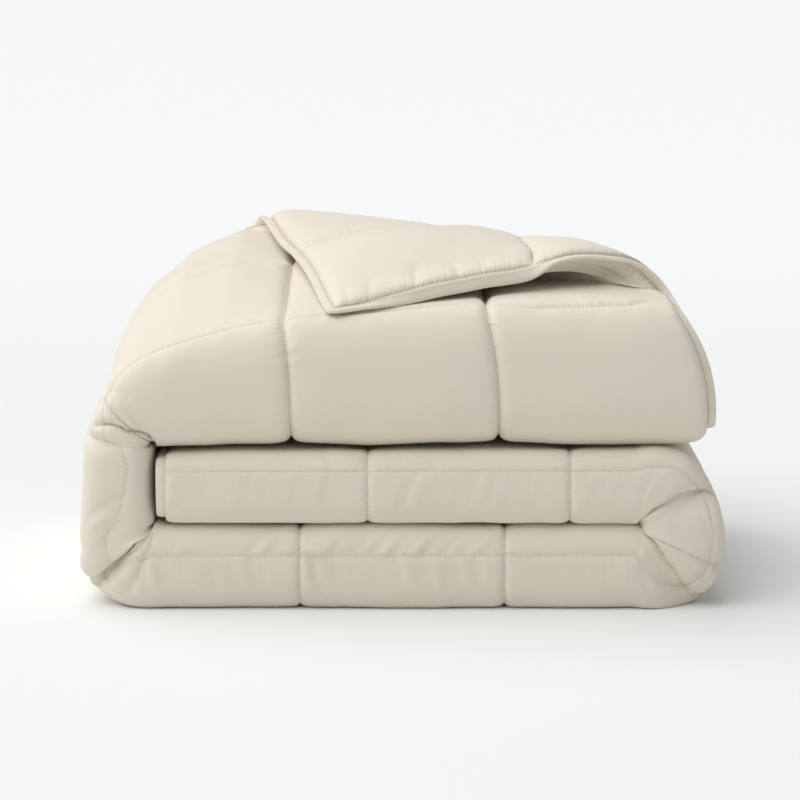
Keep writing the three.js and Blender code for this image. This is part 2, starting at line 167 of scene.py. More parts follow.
FRONT_RISE = (-190, 30)
REAR_RISE = (60, 224)

# How far the outermost layer of the top tier is pulled back to the left
LEANS = table("s x", (TOP_START, 0), (1600, -9), (1800, -19), (LENGTH, -48))
LEAN_POWER = 3.0

# Shift of the front fold along t: the seam that lies on it climbs to the shoulder of the top tier
FOLD_SHIFTS = table(
    "s t",
    (0, 13),
    (466, 12),
    (530, 25),
    (610, 23),
    (672, -8),
    (1142, -8),
    (1190, 1),
    (1225, 4),
    (1270, -3),
    (1310, -9),
    (1340, 0),
    (1400, 28),
    (1480, 44),
    (1560, 57),
    (1620, 62),
    (1700, 62),
    (1790, 72),
    (1850, 58),
    (1950, 62),
    (LENGTH, 82),
)

# Where the sheet's long outer edge lies at the rear of the strip
OUTER_EDGES = table(
    "s y",
    (0, 185),
    (466, 180),
    (627, 170),
    (1142, 168),
    (1326, 184),
    (1466, 220),
    (LENGTH, 228),
)

# Creases where the front fold is taken round a corner
CREASES = table("s depth", (538, 12), (635, 14), (1193, 16), (1340, 14))
CREASE_REACH = 15
CREASE_DEPTHS = (-180, -140)

# The turned-back corner: its fold in plan, and where it lifts
FLAP_LEFT = Vector((-192, 224))
FLAP_RIGHT = Vector((276, -150))
FLAP_RADII = (16, 28)
FLAP_LOOSE = (-70, 10)
FLAP_SLANT = 0.06
FLAP_SEAM_EASE = 0.7
FLAP_SEAM_SHALLOWER = 0.35
FLAP_LIFTS = table(
    "s t height along across",
    (LENGTH, 240, 13, 120, 60),
    (LENGTH, 110, -7, 80, 80),
    (1900, 100, 9, 100, 110),
    (LENGTH, 0, -9, 90, 110),
    (1800, 0, -6, 110, 50),
)
CURL_HEIGHT = 12
CURL_DIP = 0.4
CURL_REACH = 24
CURL_EDGE = 4
PINCH_PAST = (-110, -20)
PINCH_ALONG = (60, 200)
PINCH_SHARE = 0.55
FOLD_RUN = (FLAP_RIGHT - FLAP_LEFT).normalized()
FOLD_OUT = Vector((-FOLD_RUN.y, FOLD_RUN.x))
FOLD_LENGTH = (FLAP_RIGHT - FLAP_LEFT).length

# Soft swellings of the fill. side is 1 on the outer face of the sheet and -1 on the inner one
MOUNDS = table(
    "s t side height along across",
    (1955, 290, 1, 11, 55, 70),
    (1650, 200, 1, 9, 60, 22),
)

# Creases and pleats, each a line on one face of the sheet. A crease has a height below 0
LINES = table(
    "side s0 t0 s1 t1 height width",
    (1, 1196, 462, 1198, 412, -9, 2.6),
    (1, 1198, 415, 1192, 355, -10, 2.6),
    (1, 1210, 445, 1208, 372, 3.5, 7),
    (1, 1160, 404, 1168, 372, -3, 3),
    (1, 1174, 402, 1180, 370, 2.5, 5),
    (1, 1262, 382, 1282, 402, -1.6, 4),
    (1, 1250, 384, 1262, 400, 1.6, 5),
    (1, 1362, 383, 1392, 430, -8, 3),
    (1, 1390, 428, 1450, 470, -8, 3.5),
    (1, 1402, 404, 1420, 442, 3, 6),
    (1, 1412, 396, 1436, 430, -2.5, 3),
    (1, 610, 455, 628, 400, -8, 3),
    (1, 628, 403, 625, 362, -9, 3),
    (1, 594, 404, 603, 378, -2.5, 3),
    (1, 608, 408, 615, 382, -2.5, 3),
    (1, 500, 458, 532, 408, -8, 3),
    (1, 532, 410, 548, 376, -6, 3),
    (1, 560, 412, 582, 404, -1.5, 4),
    (-1, 1998, 36, 1966, 40, -2, 4),
    (-1, 1998, 80, 1954, 87, -3.2, 4),
    (-1, 1998, 124, 1966, 120, -2.2, 4),
    (-1, 1998, 148, 1970, 152, -2, 4),
    (-1, 1998, 12, 1976, 16, -1.5, 4),
    (-1, 2000, 196, 1958, 204, -3.5, 4),
    (1, 1590, 236, 1612, 206, -2, 4),
    (1, 1610, 190, 1592, 166, -1.6, 4),
)

# Height of the puckers along the lengthwise seams
PUCKERS = table(
    "s height",
    (0, 1.6),
    (600, 1.6),
    (700, 3.4),
    (1130, 4.2),
    (1240, 1.6),
    (1400, 1.2),
    (LENGTH, 1.2),
)

# Relief that is too fine for the mesh, in metres: the weave, the fine gathers that run out from each
# seam, the soft rumple of washed cotton and the groove that the stitches pull. A relief pair is the
# strength of the gathers and of the groove
WEAVE_PITCH = 0.0012
GATHER_PITCH = 0.0055
GATHER_LENGTH = 0.016
GATHER_RELIEF = 0.0011
RUMPLE_PITCH = 0.022
RUMPLE_SHARE = 0.5
GROOVE_WIDTH = 0.0016
CROSSWISE_RELIEF = (1.9, 1.1)
LENGTHWISE_RELIEF = (0.6, 0.75)

# The edge tape, in millimetres: how far it laps the cloth's edge, how wide it shows, half its
# thickness, how far its free end hangs, and where its seam runs
TAPE_LAP = 1.2
TAPE_WIDTH = 9
TAPE_HALF = 2.8
TAPE_STEP = 4.0
TAPE_HANG = math.radians(62)
TAPE_SEAM = 1.6
STITCH_PITCH = 4.6


def smoothstep(x, low, high):
    share = np.clip((x - low) / (high - low), 0, 1)
    return share * share * (3 - 2 * share)


def bump(x):
    """A smooth bump of height 1 at 0."""
    return np.exp(-x * x)


def at(rows, name, s):
    """A column of a table at s."""
    return np.interp(s, rows["s"], rows[name])


def seam_distance(place):
    return place - BOX * np.round(place / BOX)


def fullness(distance, narrow=SEAM_NARROW, wide=1 - SEAM_NARROW):
    """How full the cloth is at a distance from a seam, from 0 to 1."""
    away = np.abs(distance)
    return 1 - narrow * np.exp(-away / SEAM_EDGE) - wide * np.exp(-away / SEAM_REACH)


def noise(x, y, pitch, seed):
    """Smooth seeded noise from -1 to 1 on the sheet, with bumps about pitch apart in x and in y."""
    values = np.random.default_rng(seed).uniform(-1, 1, (256, 256))
    u = np.asarray(x, float) / pitch[0] + 128
    v = np.asarray(y, float) / pitch[1] + 128
    i = np.floor(u).astype(int)
    j = np.floor(v).astype(int)
    a = smoothstep(u - i, 0, 1)
    b = smoothstep(v - j, 0, 1)
    low = values[i % 256, j % 256] * (1 - a) + values[(i + 1) % 256, j % 256] * a
    high = values[i % 256, (j + 1) % 256] * (1 - a) + values[(i + 1) % 256, (j + 1) % 256] * a
    return low * (1 - b) + high * b


def turn_share(s):
    """How far s is into a turn of the route, 1 when it is well inside."""
    shares = [np.minimum(s - start, end - s) / TURN_EASE for start, end in TURNS]
    return np.clip(np.maximum.reduce(shares), 0, 1)


def stack_height(s, y):
    """Height of the four layers."""
    front = at(HEIGHTS, "front", s)
    middle = at(HEIGHTS, "middle", s)
    rear = at(HEIGHTS, "rear", s)
    behind = (rear - middle) * smoothstep(y, *REAR_RISE)
    return front + (middle - front) * smoothstep(y, *FRONT_RISE) + behind


def bend_turn(t, place):
    """Angle round a hidden bend, from -90 to 90 degrees."""
    return (math.pi / 2) * np.clip((t - place) / FOLD_HALF, -1, 1)


def cross_section(s, t):
    """Depth y and level of the middle surface across the strip."""
    height = stack_height(s, FRONT)
    pitch = height / 4
    centre = FRONT_FOLD_T + at(FOLD_SHIFTS, "t", s)
    half = FRONT_FOLD_SHARE * height + FRONT_FOLD_MORE
    radius = np.minimum(at(FRONT_BENDS, "reach", s), 1.5 * pitch)
    fold_y = FRONT + (pitch - LAYER_GAP) / 2 + radius
    turn = (math.pi / 2) * np.clip((t - centre) / half, -1, 1)
    bluntness = at(FRONT_BENDS, "bluntness", s)
    down = np.sign(turn) * np.abs(np.sin(turn)) ** bluntness
    y = fold_y - radius * np.maximum(np.cos(turn), 0) ** bluntness
    reach = (at(OUTER_EDGES, "y", s) - fold_y) / (centre - half)
    y = y + np.maximum(centre - half - t, 0) * reach
    level = 2 - 1.5 * down
    from_t = centre + half
    from_y = fold_y
    for place, bend_y, side, bend_level in (
        (REAR_FOLD_T, REAR_FOLD_Y, 1, 1),
        (INNER_FOLD_T, INNER_FOLD_Y, -1, 2),
    ):
        start = place - FOLD_HALF
        share = np.clip((t - from_t) / (start - from_t), 0, 1)
        y = np.where(t > from_t, from_y + (bend_y - from_y) * share, y)
        level = np.where(t > from_t, bend_level - 0.5, level)
        bent = bend_turn(t, place)
        reach = 0.5 * (stack_height(s, bend_y) / 4) * np.cos(bent)
        y = np.where(t > start, bend_y + side * reach, y)
        level = np.where(t > start, bend_level + 0.5 * np.sin(bent), level)
        from_t = place + FOLD_HALF
        from_y = bend_y
    share = np.clip((t - from_t) / (WIDTH - from_t), 0, None)
    y = np.where(t > from_t, from_y + (INNER_REAR_EDGE - from_y) * share, y)
    level = np.where(t > from_t, SECOND_LEVEL, level)
    return y, level


def is_top_layer(s, t):
    centre = FRONT_FOLD_T + at(FOLD_SHIFTS, "t", s)
    half = FRONT_FOLD_SHARE * stack_height(s, FRONT) + FRONT_FOLD_MORE
    return (s > TOP_START) & (t < centre - half)


def route_at(s):
    """Place on the route, carried on in a straight line past both ends."""
    over = np.minimum(s, 0) + np.maximum(s - LENGTH, 0)
    return at(ROUTE, "x", s) + over, at(ROUTE, "z", s), np.radians(at(ROUTE, "angle", s))


def flat_plan(s, t):
    """Plan of the top layer before its corner is turned back."""
    y, _level = cross_section(s, t)
    lean = at(LEANS, "x", s) * (OUTER_LEVEL / 4) ** LEAN_POWER
    return route_at(s)[0] + lean, y


def flap_distance(s, t):
    """Distance past the fold of the turned-back corner, in cloth."""
    x, y = flat_plan(s, t)
    return (x - FLAP_LEFT.x) * FOLD_OUT.x + (y - FLAP_LEFT.y) * FOLD_OUT.y


def pinch(x, y):
    """How closely the left end of the fold is pressed together, from 0 to 1, at a place in plan."""
    past = (x - FLAP_LEFT.x) * FOLD_OUT.x + (y - FLAP_LEFT.y) * FOLD_OUT.y
    along = (x - FLAP_LEFT.x) * FOLD_RUN.x + (y - FLAP_LEFT.y) * FOLD_RUN.y
    return PINCH_SHARE * smoothstep(past, *PINCH_PAST) * (1 - smoothstep(along, *PINCH_ALONG))


def curl(s, t):
    """How far the turned-back edge is drawn up at its end of the sheet."""
    share = smoothstep(t, 0, 110) * (1 - smoothstep(t, 300, 370)) * (1 - CURL_DIP * bump((t - BOX) / 40))
    return CURL_HEIGHT * share * bump((LENGTH - s) / CURL_REACH)


def fill_height(s, t):
    """Full thickness in the middle of a box."""
    inside = np.clip(s, 0, LENGTH)
    y, level = cross_section(inside, t)
    pitch = stack_height(inside, y) / 4
    room = RUN_ROOM + (TURN_ROOM - RUN_ROOM) * turn_share(s)
    full = np.minimum(pitch - LAYER_GAP, 2 * (level * pitch - room))
    past = np.where(is_top_layer(s, t), flap_distance(inside, t), -1e4)
    return full + (np.minimum(full, FLAP_FILL) - full) * smoothstep(past, *FLAP_LOOSE)


def thickness(s, t):
    """Full thickness of the cloth."""
    near_front = np.abs(t - FRONT_FOLD_T) < BOX / 2
    across = fullness(seam_distance(t), *(np.where(near_front, share, 0.5) for share in FRONT_SEAM))
    past = np.where(is_top_layer(s, t), flap_distance(np.clip(s, 0, LENGTH), t), -1e4)
    across = 1 + (across - 1) * (1 - FLAP_SEAM_SHALLOWER * smoothstep(past, -10, 40))
    centre = FRONT_FOLD_T + at(FOLD_SHIFTS, "t", s)
    half = FRONT_FOLD_SHARE * stack_height(s, FRONT) + FRONT_FOLD_MORE
    on_front = 1 - smoothstep(np.abs(t - centre), half - 5, half + 60)
    narrow, wide = (0.5 + (share - 0.5) * on_front for share in CROSSING_SEAM)
    along = fullness(seam_distance(s), narrow, wide)
    along = along + (1 - along) * HIDDEN_SEAM * bump((s - HIDDEN_SEAM_S) / 40) * smoothstep(t, 408, 426)
    eased = FLAP_SEAM_EASE * bump((past - 30) / 45)
    along = along + (1 - along) * eased
    across = across + (1 - across) * eased
    at_edge = fullness(np.minimum(t, WIDTH - t))
    return SEAM_THICKNESS + (fill_height(s, t) - SEAM_THICKNESS) * along * np.minimum(across, at_edge)


def layer_rise(s, t, x, y, height):
    """Height of the top layer before its fold, drawn up to the flap at the left end."""
    full = SEAM_THICKNESS + (fill_height(s, t) - SEAM_THICKNESS) * fullness(t)
    drawn = height - (LAYER_GAP + full) / 2
    share = pinch(x, y)
    return height * OUTER_LEVEL / 4 * (1 - share) + drawn * share


def top_column(x):
    """Column of the top tier whose outermost layer lies at x."""
    start = flat_plan(np.array([TOP_START]), np.array([0.0]))[0][0]
    end = flat_plan(np.array([LENGTH]), np.array([0.0]))[0][0]
    s = np.full(x.shape, float(TOP_START))
    for _round in range(6):
        s = s + (x - flat_plan(s, np.zeros_like(s))[0]) * (LENGTH - TOP_START) / (end - start)
        s = np.clip(s, TOP_START, LENGTH)
    return s


def flap_point(s, t):
    """The top layer's middle surface past the fold: round it, and then flat on the layer below."""
    past = flap_distance(s, t)
    x, y = flat_plan(s, t)
    along = (x - FLAP_LEFT.x) * FOLD_RUN.x + (y - FLAP_LEFT.y) * FOLD_RUN.y
    radius = FLAP_RADII[0] + (FLAP_RADII[1] - FLAP_RADII[0]) * smoothstep(along, 0, FOLD_LENGTH)
    half = math.pi * radius
    turned = np.where(past < half, radius * np.sin(past / radius), half - past)
    x = x - FOLD_OUT.x * (past - turned) - FLAP_SLANT * past
    y = y - FOLD_OUT.y * (past - turned)
    height = stack_height(top_column(x), y)
    low = TOP_Z + layer_rise(s, t, x, y, height)
    lift = sum(
        rise * bump((s - s0) / reach_s) * bump((t - t0) / reach_t)
        for s0, t0, rise, reach_s, reach_t in zip(*FLAP_LIFTS.values())
    )
    high = TOP_Z + height + FLAP_GAP + thickness(s, t) / 2 + lift + curl(s, t)
    share = np.where(past < half, (1 - np.cos(past / radius)) / 2, 1)
    return np.stack([x, y, low + (high - low) * share], -1)


def middle(s, t):
    """Middle surface of the folded cloth."""
    inside = np.clip(s, 0, LENGTH)
    y, level = cross_section(inside, t)
    x, z, angle = route_at(s)
    out = level * stack_height(inside, y) / 4
    lean = at(LEANS, "x", inside) * np.abs(level / 4) ** LEAN_POWER
    on_fold = 1 - smoothstep(y, *CREASE_DEPTHS)
    tuck = sum(depth * bump((s - s0) / CREASE_REACH) for s0, depth in zip(*CREASES.values()))
    inner = np.where(t > REAR_FOLD_T, 0, np.clip((level - 1) / 2, 0, 1))
    x = x + out * np.cos(angle) + lean
    z = z + out * np.sin(angle)
    points = np.stack([x, y + tuck * on_fold * inner, z], -1)
    turned = is_top_layer(s, t)
    x, y = points[turned, 0], points[turned, 1]
    height = stack_height(inside[turned], y)
    points[turned, 2] = TOP_Z + layer_rise(s[turned], t[turned], x, y, height)
    turned[turned] = flap_distance(s[turned], t[turned]) > 0
    points[turned] = flap_point(s[turned], t[turned])
    return points


def normal_at(s, t, step=0.5):
    along = middle(s + step, t) - middle(s - step, t)
    across = middle(s, t + step) - middle(s, t - step)
    normal = np.cross(across, along)
    return normal / np.linalg.norm(normal, axis=-1, keepdims=True)


def gathers(along, distance, pitch, reach, seed):
    """Slanting ridges that run out from a sewn line, each with its own height and length."""
    away = np.abs(distance)
    lane = np.where(distance < 0, 0, 37 * pitch) + along + 0.7 * away
    lane = lane + 3 * noise(along, away, (60, 20), seed + 2)
    uneven = 0.6 + 0.5 * noise(along, 0 * away, (90, 1), seed + 3)
    ridge = noise(lane, 0 * away, (pitch / 2, 1), seed) * uneven
    length = reach * (1 + 0.6 * noise(lane, 0 * away, (1.7 * pitch, 1), seed + 1))
    return ridge * np.exp(-away / length) * (1 - np.exp(-away / 3))


def puckers(s, t):
    """Height of what the sewing draws up, in millimetres: most at the front of the lowest tier."""
    height = 0
    for seam in range(0, LENGTH + 1, BOX):
        height = height + 1.3 * gathers(t, s - seam, 12, 12, 100 + seam)
    for seam in range(0, WIDTH + 1, BOX):
        height = height + at(PUCKERS, "height", s) * gathers(s, t - seam, 20, 18, 4000 + seam)
    return height


def softness(s, t, side):
    """Height of the slow unevenness of the fill, in millimetres."""
    seed = 7 if side > 0 else 8
    calm = fullness(seam_distance(s)) * fullness(seam_distance(t))
    return calm * (1.3 * noise(s, t, (70, 60), seed) + 0.7 * noise(s, t, (31, 28), seed + 20))


def mounds(s, t, side):
    """Height of the soft swellings and hollows of the fill, in millimetres."""
    return sum(
        height * bump((s - s0) / along) * bump((t - t0) / across) * (side == face)
        for s0, t0, face, height, along, across in zip(*MOUNDS.values())
    )


def lines(s, t, side):
    """Height of the listed creases and pleats, in millimetres."""
    height = 0
    for face, s0, t0, s1, t1, rise, width in zip(*LINES.values()):
        length = math.hypot(s1 - s0, t1 - t0)
        along = ((s - s0) * (s1 - s0) + (t - t0) * (t1 - t0)) / length**2
        off = np.abs((s - s0) * (t1 - t0) - (t - t0) * (s1 - s0)) / (length * width)
        ends = smoothstep(along, -0.15, 0.2) * (1 - smoothstep(along, 0.8, 1.15))
        height = height + rise * ends * (np.exp(-off) if rise < 0 else bump(off)) * (side == face)
    return height


def swell(s, t, side):
    """How far the tiers fill out against each other behind the front, in millimetres."""
    half = FRONT_FOLD_SHARE * stack_height(s, FRONT) + FRONT_FOLD_MORE
    away = t - FRONT_FOLD_T - at(FOLD_SHIFTS, "t", s) - half
    return SWELL * smoothstep(away, -25, 0) * (1 - smoothstep(away, 60, 160)) * (side > 0)


def cloth_points(s, t, side, off=0):
    """Points of the cover, or off it by a distance, in millimetres in the route's own place."""
    soft = np.where(side > 0, softness(s, t, 1), softness(s, t, -1))
    lift = thickness(s, t) / 2 + puckers(s, t) + soft
    lift = lift + swell(s, t, side) + mounds(s, t, side) + lines(s, t, side) + off
    full = curl(s, t) * (1 - np.exp(-np.abs(LENGTH - s) / CURL_EDGE)) * is_top_layer(s, t)
    lift = lift + np.where(side > 0, full, -0.5 * full)
    points = middle(s, t) + normal_at(s, t) * (side * lift)[:, None]
    points[:, 2] = np.maximum(points[:, 2], 0)
    return points


def to_frame(points):
    return (points - CENTRE) * MM


def face_detail(s, t, side):
    """How many times the 20 mm squares of one face are halved at a place: most where the cloth shows."""
    near_seam = np.minimum(np.abs(seam_distance(s)), np.abs(seam_distance(t))) < 24
    corners = np.minimum.reduce([np.abs(s - crease) for crease in (525, 625, 1193, 1375, 1420)]) < 24
    near_seam = near_seam | (corners & (np.abs(t - 410) < 50))
    turning = ((s > 440) & (s < 700)) | (s > 1120)
    centre = FRONT_FOLD_T + at(FOLD_SHIFTS, "t", s)
    folded_front = np.abs(t - centre) < FRONT_FOLD_SHARE * stack_height(s, FRONT) + FRONT_FOLD_MORE + 14
    outer = (turning & (t < centre)) | folded_front
    inner = (s > 1500) & (t < 420) & (flap_distance(s, t) > -30)
    under_flap = (s > 1560) & (t > 1240)
    rear = (t > 740) & (t < 860)
    edge = np.minimum(np.minimum(s, LENGTH - s), np.minimum(t, WIDTH - t)) < 30
    level = np.where(outer if side > 0 else inner, 2, 0)
    level = np.maximum(level, np.where(edge | rear | (under_flap & (side > 0)), 1, 0))
    return np.where((level == 2) & near_seam, 3, level)


def shown_detail(s, t, side):
    """The detail of one face, and on the border the finer of both faces, so that the border matches."""
    outer = face_detail(s, t, 1)
    inner = face_detail(s, t, -1)
    on_border = np.minimum(np.minimum(s, LENGTH - s), np.minimum(t, WIDTH - t)) < 1
    return np.where(on_border, np.maximum(outer, inner), outer if side > 0 else inner)


def sheet_mesh(bm, side):
    """A flat face of the sheet in s, t and side, with small squares where it shows."""
    step = 20
    made = bmesh.ops.create_grid(bm, x_segments=LENGTH // step, y_segments=WIDTH // step, size=0.5)
    verts = made["verts"]
    for vert in verts:
        vert.co = ((vert.co.x + 0.5) * LENGTH, (vert.co.y + 0.5) * WIDTH, side)
    for level in (1, 2, 3):
        edges = list({edge for vert in verts for edge in vert.link_edges})
        ends = np.array([(*(edge.verts[0].co + edge.verts[1].co) / 2,) for edge in edges])
        wanted = shown_detail(ends[:, 0], ends[:, 1], side) >= level
        bmesh.ops.subdivide_edges(
            bm,
            edges=[edge for edge, cut in zip(edges, wanted) if cut],
            cuts=1,
            use_grid_fill=True,
        )
        verts = [vert for vert in bm.verts if vert.co.z == side]


def border_edges(bm, side):
    return [edge for edge in bm.edges if len(edge.link_faces) == 1 and edge.verts[0].co.z == side]


def finished(bm, name, materials):
    """An object from a bmesh, with smooth faces."""
    mesh = bpy.data.meshes.new(name)
    bm.to_mesh(mesh)
    bm.free()
    for material in materials:
        mesh.materials.append(material)
    obj = bpy.data.objects.new(name, mesh)
    bpy.context.scene.collection.objects.link(obj)
    mesh.shade_smooth()
    return obj


def coordinates(mesh):
    values = np.empty(len(mesh.vertices) * 3)
    mesh.vertices.foreach_get("co", values)
    return values.reshape(-1, 3)


def sheet_uv(mesh, places):
    """Gives each corner its place on the flat sheet, in metres, so that a weave follows the cloth."""
    corners = np.empty(len(mesh.loops), int)
    mesh.loops.foreach_get("vertex_index", corners)
    layer = mesh.uv_layers.new(name="cloth")
    layer.data.foreach_set("uv", (places[corners] * MM).ravel())


def linear(hex_colour):
    """An sRGB hex colour as the linear values a shader takes."""
    parts = [int(hex_colour[i : i + 2], 16) / 255 for i in (1, 3, 5)]
    return (*[p / 12.92 if p < 0.04045 else ((p + 0.055) / 1.055) ** 2.4 for p in parts], 1)


def add_node(tree, kind, links=(), inputs=(), **settings):
    """Adds a node with its settings. links and inputs are (socket, value) pairs."""
    node = tree.nodes.new(kind)
    for name, value in settings.items():
        setattr(node, name, value)
    for socket, value in inputs:
        node.inputs[socket].default_value = value
    for socket, source in links:
        tree.links.new(source, node.inputs[socket])
    return node


def new_material(name):
    material = bpy.data.materials.new(name)
    material.use_nodes = True
    material.node_tree.nodes.clear()
    return material, material.node_tree


class DuvetLooks(bpy.types.PropertyGroup):
    """Sizes and colours of the duvet."""

    stitch: bpy.props.FloatProperty(
        name="Stitch", description="Length of one stitch", default=0.0033, unit="LENGTH"
    )
    thread: bpy.props.FloatProperty(
        name="Thread", description="Thickness of the sewing thread", default=0.0006, unit="LENGTH"
    )
    cover: bpy.props.StringProperty(
        name="Cover", description="Colour of the cover, as sRGB hex", default="#E3DACA"
    )
    tape: bpy.props.StringProperty(
        name="Tape", description="Colour of the edge tape, as sRGB hex", default="#E0D7C7"
    )
    thread_colour: bpy.props.StringProperty(
        name="Thread colour", description="Colour of the sewing thread, as sRGB hex", default="#DED5C6"
    )


def sewn(tree, place, axis, gather, groove_depth):
    """Relief beside the seams across one axis: fine gathers, and the groove of the stitches."""
    parts = add_node(tree, "ShaderNodeSeparateXYZ", [("Vector", place)])
    distance = add_node(
        tree, "ShaderNodeMath", [(0, parts.outputs[axis])], [(1, BOX * MM / 2)], operation="PINGPONG"
    )
    faded = []
    for reach in (GATHER_LENGTH, GROOVE_WIDTH):
        share = add_node(
            tree, "ShaderNodeMath", [(0, distance.outputs[0])], [(1, -1 / reach)], operation="MULTIPLY"
        )
        faded.append(add_node(tree, "ShaderNodeMath", [(0, share.outputs[0])], operation="EXPONENT"))
    fade, groove = faded
    turns = add_node(
        tree,
        "ShaderNodeMath",
        [(0, parts.outputs[1 - axis])],
        [(1, math.tau / (STITCH_PITCH * MM))],
        operation="MULTIPLY",
    )
    stitch = add_node(tree, "ShaderNodeMath", [(0, turns.outputs[0])], operation="SINE")
    depth = add_node(
        tree,
        "ShaderNodeMath",
        [(0, stitch.outputs[0])],
        [(1, -0.25 * groove_depth), (2, -groove_depth)],
        operation="MULTIPLY_ADD",
    )
    sunk = add_node(
        tree, "ShaderNodeMath", [(0, groove.outputs[0]), (1, depth.outputs[0])], operation="MULTIPLY"
    )
    across = [1 / GATHER_LENGTH * 0.35, 1 / GATHER_PITCH]
    scale = across if axis == 0 else across[::-1]
    stretched = add_node(
        tree, "ShaderNodeVectorMath", [(0, place)], [(1, (*scale, 1))], operation="MULTIPLY"
    )
    lanes = add_node(
        tree,
        "ShaderNodeTexNoise",
        [("Vector", stretched.outputs["Vector"])],
        [("Scale", 1.0), ("Detail", 1.5), ("Roughness", 0.5), ("Distortion", 0.15)],
    )
    strength = add_node(
        tree, "ShaderNodeMath", [(0, fade.outputs[0])], [(1, gather)], operation="MULTIPLY"
    )
    return add_node(
        tree,
        "ShaderNodeMath",
        [(0, strength.outputs[0]), (1, lanes.outputs["Fac"]), (2, sunk.outputs[0])],
        operation="MULTIPLY_ADD",
    )


def cotton(name, colour, gather_relief=0):
    """Fine plain-woven cotton, washed: matt, with a soft sheen from its fibres and a faint weave."""
    material, tree = new_material(name)
    place = add_node(tree, "ShaderNodeUVMap", uv_map="cloth").outputs["UV"]
    # The real threads are 0.25 mm apart, which is too fine to show, so the weave is drawn 1.2 mm coarse
    weave = add_node(
        tree,
        "ShaderNodeTexNoise",
        [("Vector", place)],
        [("Scale", 1 / WEAVE_PITCH), ("Detail", 3.0), ("Roughness", 0.6)],
    )
    relief = add_node(
        tree,
        "ShaderNodeBump",
        [("Height", weave.outputs["Fac"])],
        [("Strength", 0.25), ("Distance", 0.0004)],
    )
    if gather_relief:
        rumple = add_node(
            tree,
            "ShaderNodeTexNoise",
            [("Vector", place)],
            [("Scale", 1 / RUMPLE_PITCH), ("Detail", 2.0), ("Roughness", 0.45), ("Distortion", 0.4)],
        )
        height = add_node(
            tree,
            "ShaderNodeMath",
            [(0, rumple.outputs["Fac"]), (2, sewn(tree, place, 0, *CROSSWISE_RELIEF).outputs[0])],
            [(1, RUMPLE_SHARE)],
            operation="MULTIPLY_ADD",
        )
        height = add_node(
            tree,
            "ShaderNodeMath",
            [(0, height.outputs[0]), (1, sewn(tree, place, 1, *LENGTHWISE_RELIEF).outputs[0])],
            operation="ADD",
        )
        relief = add_node(
            tree,
            "ShaderNodeBump",
            [("Height", height.outputs[0]), ("Normal", relief.outputs["Normal"])],
            [("Strength", 1.0), ("Distance", gather_relief)],
        )
    shader = add_node(
        tree,
        "ShaderNodeBsdfPrincipled",
        [("Normal", relief.outputs["Normal"])],
        [
            ("Base Color", linear(colour)),
            ("Roughness", 0.92),
            ("Sheen Weight", 0.2),
            ("Sheen Roughness", 0.5),
            ("Specular IOR Level", 0.2),
        ],
    )
    add_node(tree, "ShaderNodeOutputMaterial", [("Surface", shader.outputs["BSDF"])])
    return material


def sewing_thread(name, colour):
    """Twisted cotton sewing thread: matt, with its twist as a fine slant."""
    material, tree = new_material(name)
    twist = add_node(
        tree,
        "ShaderNodeTexWave",
        [("Vector", add_node(tree, "ShaderNodeTexCoord").outputs["Object"])],
        [("Scale", 700.0), ("Distortion", 1.0)],
        bands_direction="DIAGONAL",
    )
    relief = add_node(
        tree,
        "ShaderNodeBump",
        [("Height", twist.outputs["Fac"])],
        [("Strength", 0.3), ("Distance", 0.0001)],
    )
    shader = add_node(
        tree,
        "ShaderNodeBsdfPrincipled",
        [("Normal", relief.outputs["Normal"])],
        [("Base Color", linear(colour)), ("Roughness", 0.8), ("Specular IOR Level", 0.3)],
    )
    add_node(tree, "ShaderNodeOutputMaterial", [("Surface", shader.outputs["BSDF"])])
    return material


class DUVET_OT_cover(bpy.types.Operator):
    """Make the filled cover with its sewn boxes"""

    bl_idname = "duvet.cover"
    bl_label = "Filled cover"

    def execute(self, context):
        looks = context.scene.duvet_looks
        bm = bmesh.new()
        sheet_mesh(bm, 1)
        sheet_mesh(bm, -1)
        bmesh.ops.reverse_faces(bm, faces=[face for face in bm.faces if face.verts[0].co.z > 0])
        bmesh.ops.bridge_loops(bm, edges=border_edges(bm, 1) + border_edges(bm, -1))
        duvet = finished(bm, "duvet_cover", [cotton("washed_cotton_cover", looks.cover, GATHER_RELIEF)])
        mesh = duvet.data
        sheet = coordinates(mesh)
        sheet_uv(mesh, sheet[:, :2])
        points = to_frame(cloth_points(sheet[:, 0], sheet[:, 1], sheet[:, 2]))
        mesh.vertices.foreach_set("co", points.ravel())
        mesh.update()
        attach(duvet, "root")
        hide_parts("duvet")
        return {"FINISHED"}


def border_path(step):
    """Places along the border of the sheet, once round, with the way out of the cloth at each."""
    runs = (
        ((0, 0), (1, 0), LENGTH, (0, -1)),
        ((LENGTH, 0), (0, 1), WIDTH, (1, 0)),
        ((LENGTH, WIDTH), (-1, 0), LENGTH, (0, 1)),
        ((0, WIDTH), (0, -1), WIDTH, (-1, 0)),
    )
    rows = []
    for k, (start, way, length, out) in enumerate(runs):
        before = np.array(runs[k - 1][3])
        for share in (0.0, 0.25, 0.5, 0.75):
            turn = share * math.pi / 2
            rows.append((*start, *(before * math.cos(turn) + np.array(out) * math.sin(turn))))
        for place in np.arange(0, length, step):
            rows.append((start[0] + way[0] * place, start[1] + way[1] * place, *out))
    return np.array(rows)


